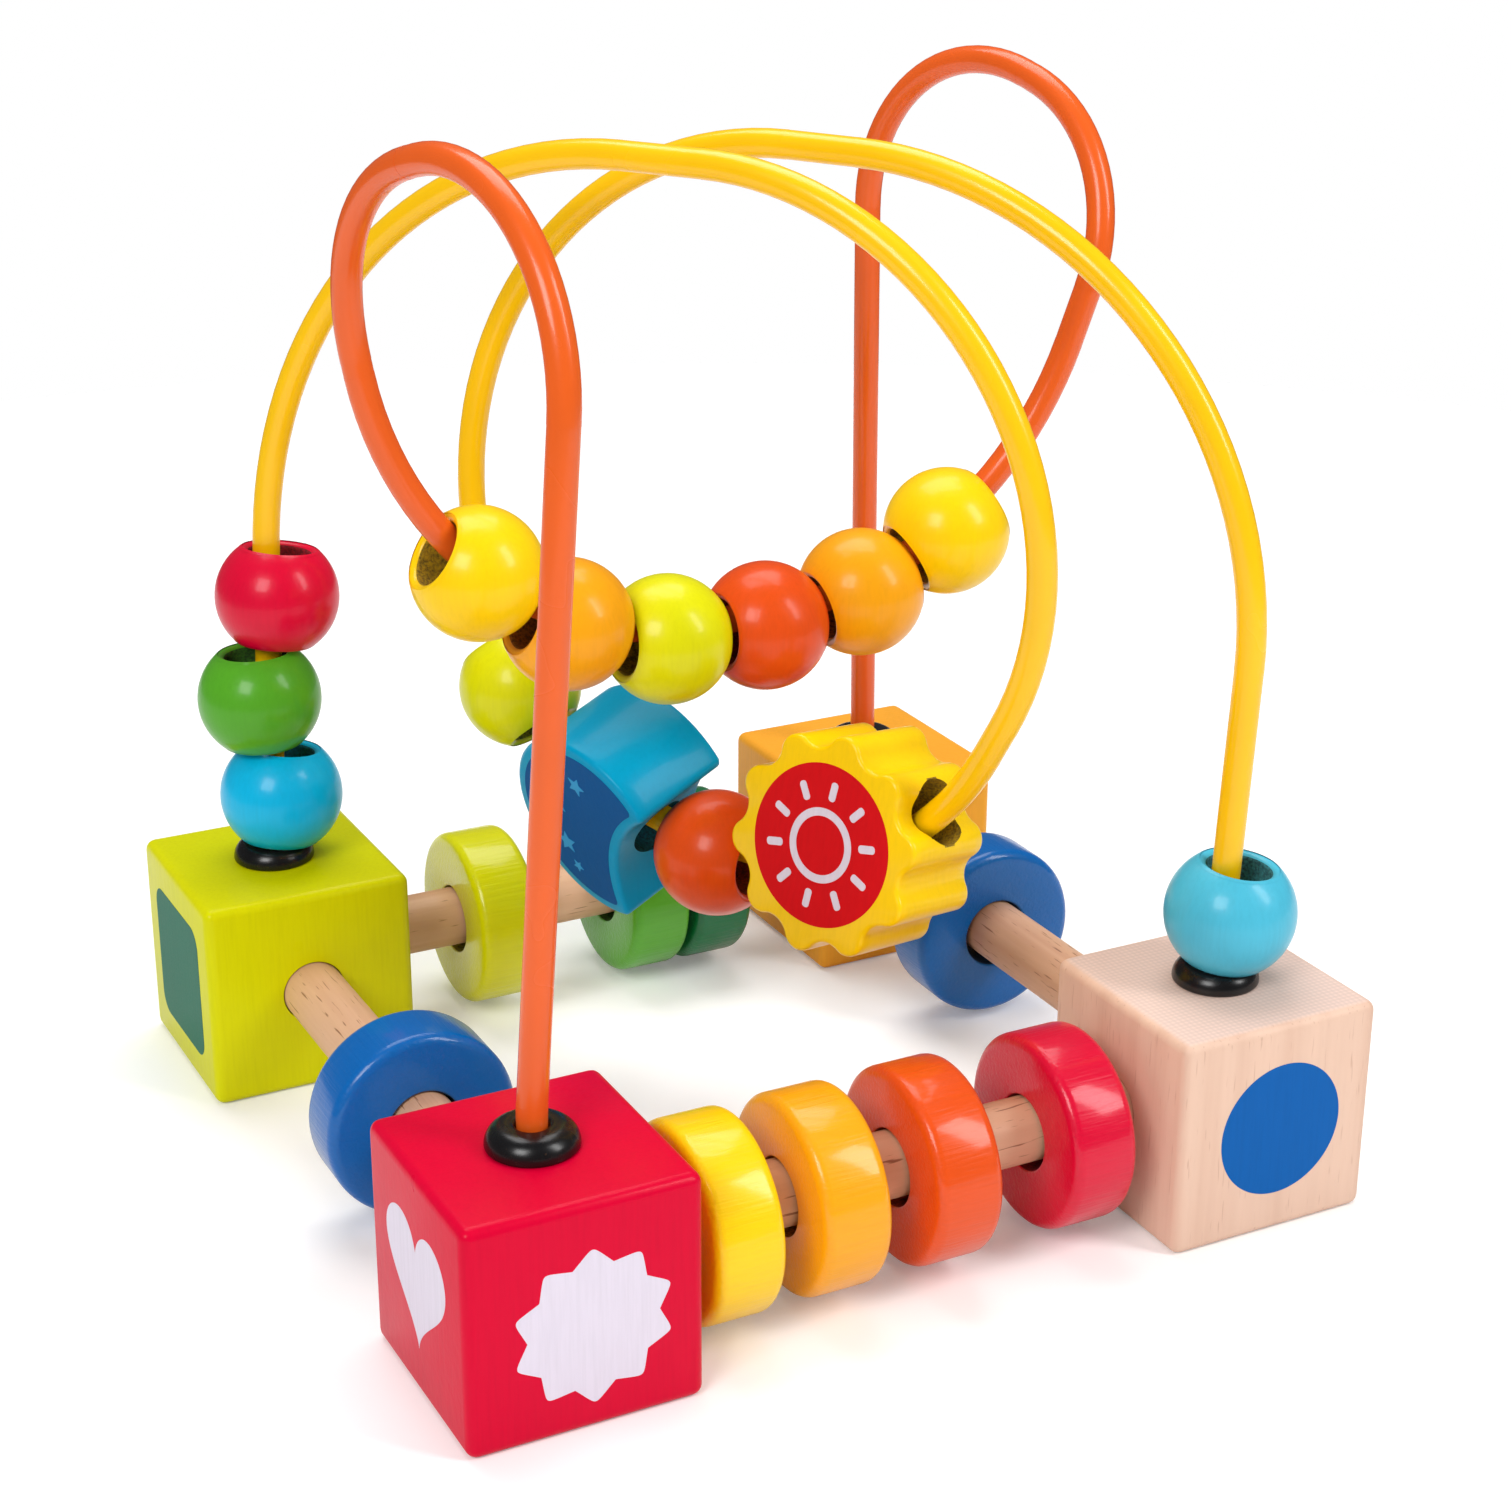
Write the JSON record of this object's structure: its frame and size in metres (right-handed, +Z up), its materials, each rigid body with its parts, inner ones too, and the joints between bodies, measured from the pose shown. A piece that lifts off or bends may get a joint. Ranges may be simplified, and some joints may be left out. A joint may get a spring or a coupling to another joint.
{
  "type": "bead maze",
  "caption": "Wooden bead maze: corner blocks joined by dowel rails with sliding discs, and two bent wires crossing above that carry round beads, a sun block and a moon block.",
  "frame": {"origin": "middle of the base square, on the floor", "axes": "+X from the red block to the natural block, +Y from the red block to the lime block, +Z up"},
  "size_m": [0.1762, 0.1724, 0.1969],
  "materials": {
    "red_paint": "gloss paint",
    "bare_beech": "clear varnish",
    "orange_paint": "gloss paint",
    "lime_paint": "gloss paint",
    "rail_beech": "bare, sanded",
    "black_rubber": "satin",
    "orange_wire": "gloss coating",
    "yellow_wire": "gloss coating",
    "yellow_paint": "gloss paint",
    "amber_paint": "gloss paint",
    "vermilion_paint": "gloss paint",
    "blue_paint": "gloss paint",
    "green_paint": "gloss paint",
    "dark_green_paint": "gloss paint",
    "cyan_paint": "gloss paint"
  },
  "bodies": {
    "frame": {"block_red": "red_paint", "block_natural": "bare_beech", "block_orange": "orange_paint", "block_lime": "lime_paint", "rail_front": "rail_beech", "rail_left": "rail_beech", "rail_right": "rail_beech", "rail_back": "rail_beech", "grommet_red": "black_rubber", "grommet_natural": "black_rubber", "grommet_orange": "black_rubber", "grommet_lime": "black_rubber", "wire_orange": "orange_wire", "wire_yellow": "yellow_wire"},
    "disc_front_yellow": {"disc_front_yellow": "yellow_paint"},
    "disc_front_amber": {"disc_front_amber": "amber_paint"},
    "disc_front_orange": {"disc_front_orange": "vermilion_paint"},
    "disc_front_red": {"disc_front_red": "red_paint"},
    "disc_left_blue": {"disc_left_blue": "blue_paint"},
    "disc_right_blue": {"disc_right_blue": "blue_paint"},
    "disc_back_lime": {"disc_back_lime": "lime_paint"},
    "disc_back_green": {"disc_back_green": "green_paint"},
    "disc_back_dark": {"disc_back_dark": "dark_green_paint"},
    "bead_top_yellow_a": {"bead_top_yellow_a": "yellow_paint"},
    "bead_top_amber_a": {"bead_top_amber_a": "amber_paint"},
    "bead_top_lime": {"bead_top_lime": "lime_paint"},
    "bead_top_vermilion": {"bead_top_vermilion": "vermilion_paint"},
    "bead_top_amber_b": {"bead_top_amber_b": "amber_paint"},
    "bead_top_yellow_b": {"bead_top_yellow_b": "yellow_paint"},
    "bead_stack_cyan": {"bead_stack_cyan": "cyan_paint"},
    "bead_stack_green": {"bead_stack_green": "green_paint"},
    "bead_stack_red": {"bead_stack_red": "red_paint"},
    "bead_low_lime": {"bead_low_lime": "lime_paint"},
    "moon": {"moon": "cyan_paint"},
    "bead_low_orange": {"bead_low_orange": "vermilion_paint"},
    "sun": {"sun": "yellow_paint"},
    "bead_corner_cyan": {"bead_corner_cyan": "cyan_paint"}
  },
  "joints": [
    {"name": "disc_front_yellow_slide", "type": "slide", "parent": "frame", "child": "disc_front_yellow", "axis": [1, 0, 0], "range_m": [-0.00364, 0.00683]},
    {"name": "disc_front_amber_slide", "type": "slide", "parent": "frame", "child": "disc_front_amber", "axis": [1, 0, 0], "range_m": [-0.00683, 0.00856]},
    {"name": "disc_front_orange_slide", "type": "slide", "parent": "frame", "child": "disc_front_orange", "axis": [1, 0, 0], "range_m": [-0.00856, 0.01413]},
    {"name": "disc_front_red_slide", "type": "slide", "parent": "frame", "child": "disc_front_red", "axis": [1, 0, 0], "range_m": [-0.01413, 0.00634]},
    {"name": "disc_back_lime_slide", "type": "slide", "parent": "frame", "child": "disc_back_lime", "axis": [1, 0, 0], "range_m": [-0.01622, 0.02049]},
    {"name": "disc_back_green_slide", "type": "slide", "parent": "frame", "child": "disc_back_green", "axis": [1, 0, 0], "range_m": [-0.02049, 0.00127]},
    {"name": "disc_back_dark_slide", "type": "slide", "parent": "frame", "child": "disc_back_dark", "axis": [1, 0, 0], "range_m": [-0.00127, 0.01482]},
    {"name": "disc_left_blue_slide", "type": "slide", "parent": "frame", "child": "disc_left_blue", "axis": [0, 1, 0], "range_m": [-0.02888, 0.04672]},
    {"name": "disc_right_blue_slide", "type": "slide", "parent": "frame", "child": "disc_right_blue", "axis": [0, 1, 0], "range_m": [-0.05251, 0.02309]},
    {"name": "bead_top_amber_a_spin", "type": "hinge", "parent": "frame", "child": "bead_top_amber_a", "pos_m": [-0.03063, 0.00032, 0.10473], "axis": [0.9474, 0.0054, -0.3201], "continuous": true},
    {"name": "bead_top_lime_spin", "type": "hinge", "parent": "frame", "child": "bead_top_lime", "pos_m": [-0.01087, 0.00066, 0.09874], "axis": [0.9963, 0.0281, -0.0807], "continuous": true},
    {"name": "bead_top_vermilion_spin", "type": "hinge", "parent": "frame", "child": "bead_top_vermilion", "pos_m": [0.0095, 0.00134, 0.09805], "axis": [0.9994, 0.0344, -0.0076], "continuous": true},
    {"name": "bead_top_amber_b_spin", "type": "hinge", "parent": "frame", "child": "bead_top_amber_b", "pos_m": [0.02987, 0.00167, 0.1015], "axis": [0.9738, -0.0032, 0.2276], "continuous": true},
    {"name": "bead_top_yellow_a_travel", "type": "hinge", "parent": "frame", "child": "bead_top_yellow_a", "pos_m": [-0.00419, 0.005, 0.16384], "axis": [-0.0349, 0.9973, -0.0649], "range_deg": [0, 25]},
    {"name": "bead_top_yellow_b_travel", "type": "hinge", "parent": "frame", "child": "bead_top_yellow_b", "pos_m": [0.01094, -0.00609, 0.16339], "axis": [0.033, -0.9925, -0.1177], "range_deg": [0, 25]},
    {"name": "bead_stack_cyan_spin", "type": "hinge", "parent": "frame", "child": "bead_stack_cyan", "pos_m": [-0.0649, 0.06579, 0.05464], "axis": [0.1432, 0.0553, 0.9881], "continuous": true},
    {"name": "bead_stack_green_spin", "type": "hinge", "parent": "frame", "child": "bead_stack_green", "pos_m": [-0.06775, 0.06693, 0.075], "axis": [-0.0308, 0.0558, 0.998], "continuous": true},
    {"name": "bead_stack_red_travel", "type": "hinge", "parent": "frame", "child": "bead_stack_red", "pos_m": [-0.02313, -0.0013, 0.10544], "axis": [0.8607, 0.5033, -0.0769], "range_deg": [0, 80]},
    {"name": "bead_corner_cyan_slide", "type": "slide", "parent": "frame", "child": "bead_corner_cyan", "axis": [0.003, -0.0595, 0.9982], "range_m": [0, 0.036]},
    {"name": "bead_low_orange_spin", "type": "hinge", "parent": "frame", "child": "bead_low_orange", "pos_m": [-0.00062, 0.00121, 0.05423], "axis": [-0.4504, 0.8927, 0.0165], "continuous": true},
    {"name": "sun_travel", "type": "hinge", "parent": "frame", "child": "sun", "pos_m": [-0.00061, -0.00628, 0.11662], "axis": [-0.8918, -0.4489, -0.0561], "range_deg": [0, 22]},
    {"name": "moon_roll", "type": "hinge", "parent": "frame", "child": "moon", "pos_m": [-0.00936, 0.02149, 0.05895], "axis": [-0.3812, 0.8184, 0.4299], "continuous": true},
    {"name": "bead_low_lime_travel", "type": "hinge", "parent": "frame", "child": "bead_low_lime", "pos_m": [0.00229, 0.0045, 0.11672], "axis": [0.8902, 0.4504, -0.068], "range_deg": [0, 15]}
  ]
}
